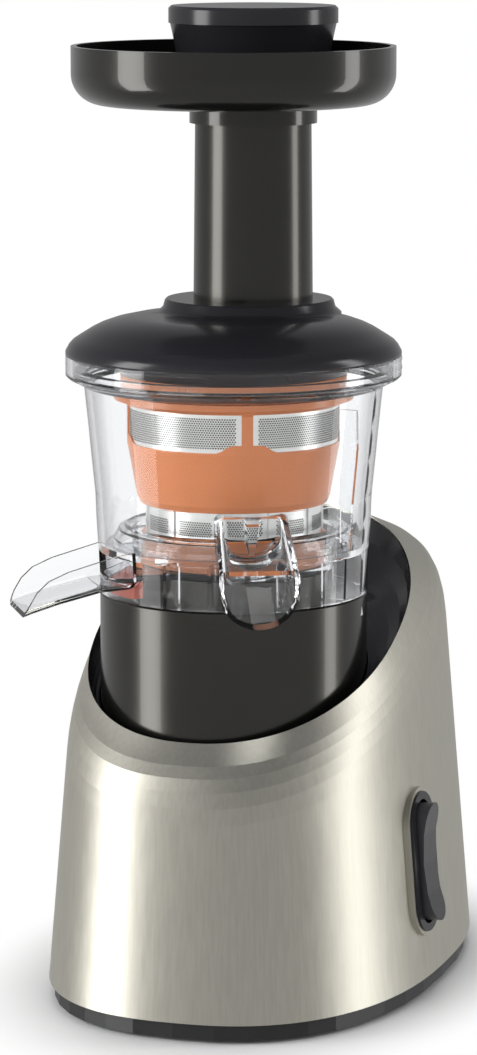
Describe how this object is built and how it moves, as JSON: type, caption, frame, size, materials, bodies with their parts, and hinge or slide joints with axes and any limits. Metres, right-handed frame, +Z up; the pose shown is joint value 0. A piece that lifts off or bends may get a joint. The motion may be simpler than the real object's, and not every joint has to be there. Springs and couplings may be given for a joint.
{
  "type": "cold press juicer",
  "caption": "Upright slow juicer: clear bowl with filter and auger on a geared drum, spout and pulp chute, feed tube with tray and pusher, sloped metal housing with side rocker switch.",
  "frame": {"origin": "on the shared axis of bowl, auger and drive, at the plane the feet rest on", "axes": "+Z up along that axis; -Y is the front that the juice spout side faces; +X is the side with the switch"},
  "size_m": [0.1839, 0.2706, 0.445],
  "materials": {
    "shell_silver": "satin champagne silver",
    "gloss_black": "gloss",
    "gunmetal": "satin metallic paint",
    "clear": "clear copolyester, polished",
    "orange": "satin",
    "red_silicone": "matt",
    "silicone": "matt translucent",
    "black_rubber": "matt",
    "black_plastic": "fine texture",
    "rocker_black": "semi gloss",
    "stainless": "etched sheet",
    "steel": "turned",
    "laminations": "varnished stack",
    "copper": "enamelled wire",
    "gear_nylon": "moulded",
    "auger_dark": "satin",
    "bronze": "sintered",
    "board_green": "solder mask"
  },
  "bodies": {
    "housing": {"housing_shell": "shell_silver", "bowl_cradle": "gloss_black", "drive_drum": "gunmetal", "bottom_cover": "black_plastic", "rubber_feet": "black_rubber", "motor_plate": "steel", "plate_screws": "steel", "motor_stator": "laminations", "motor_windings": "copper", "motor_bell_lower": "steel", "motor_bell_upper": "steel", "motor_bearings": "steel", "gear_axles": "steel", "gear_case": "black_plastic", "gear_cover": "black_plastic", "output_bearings": "steel", "neck_seal": "black_rubber", "switch_bezel": "gloss_black", "rocker_pin": "steel", "switch_body": "black_plastic", "cord_inlet": "black_rubber", "control_board": "board_green", "board_posts": "black_plastic", "board_parts": "black_plastic"},
    "rotor": {"motor_rotor": "laminations", "motor_shaft": "steel", "motor_fan": "black_plastic", "motor_pinion": "steel"},
    "layshaft_1": {"layshaft_gear_1": "gear_nylon"},
    "layshaft_2": {"layshaft_gear_2": "gear_nylon"},
    "output": {"output_gear": "gear_nylon", "output_shaft": "steel"},
    "rocker": {"switch_rocker": "rocker_black"},
    "bowl": {"juice_bowl": "clear", "juice_spout": "clear", "pulp_chute": "clear", "pulp_plug": "red_silicone", "bowl_seal": "silicone", "filter_frame": "orange", "upper_mesh": "stainless", "lower_mesh": "stainless"},
    "auger": {"auger": "auger_dark"},
    "lid": {"juicer_lid": "gloss_black", "lid_seal": "silicone", "auger_bush": "bronze", "feed_tube": "gunmetal"},
    "tray": {"hopper_tray": "gunmetal"},
    "pusher": {"pusher_head": "gloss_black", "pusher_stem": "gloss_black"}
  },
  "joints": [
    {"name": "rotor_spin", "type": "hinge", "parent": "housing", "child": "rotor", "pos_m": [0, 0, 0.06], "axis": [0, 0, 1], "continuous": true},
    {"name": "layshaft_1_spin", "type": "hinge", "parent": "housing", "child": "layshaft_1", "pos_m": [0, 0.0264, 0.12], "axis": [0, 0, 1], "continuous": true},
    {"name": "layshaft_2_spin", "type": "hinge", "parent": "housing", "child": "layshaft_2", "pos_m": [-0.02413, 0.01914, 0.14], "axis": [0, 0, 1], "continuous": true},
    {"name": "output_spin", "type": "hinge", "parent": "housing", "child": "output", "pos_m": [0, 0, 0.16], "axis": [0, 0, 1], "continuous": true},
    {"name": "rocker_tilt", "type": "hinge", "parent": "housing", "child": "rocker", "pos_m": [0.08155, 0.01711, 0.06238], "axis": [0.0723, 0.9974, 0], "range_deg": [-8, 8]},
    {"name": "bowl_lift", "type": "slide", "parent": "housing", "child": "bowl", "axis": [0, 0, 1], "range_m": [0, 0.08]},
    {"name": "auger_spin", "type": "hinge", "parent": "bowl", "child": "auger", "pos_m": [0, 0, 0.25], "axis": [0, 0, 1], "continuous": true},
    {"name": "lid_turn", "type": "hinge", "parent": "bowl", "child": "lid", "pos_m": [0, 0, 0.3], "axis": [0, 0, 1], "range_deg": [0, 30]},
    {"name": "tray_lift", "type": "slide", "parent": "lid", "child": "tray", "axis": [0, 0, 1], "range_m": [0, 0.03]},
    {"name": "pusher_slide", "type": "slide", "parent": "tray", "child": "pusher", "axis": [0, 0, 1], "range_m": [0, 0.1]}
  ],
  "couplings": [
    {"joint": "layshaft_1_spin", "follows": "rotor_spin", "ratio": -0.22222},
    {"joint": "layshaft_2_spin", "follows": "rotor_spin", "ratio": 0.074074},
    {"joint": "output_spin", "follows": "rotor_spin", "ratio": -0.02963},
    {"joint": "auger_spin", "follows": "rotor_spin", "ratio": -0.02963}
  ]
}
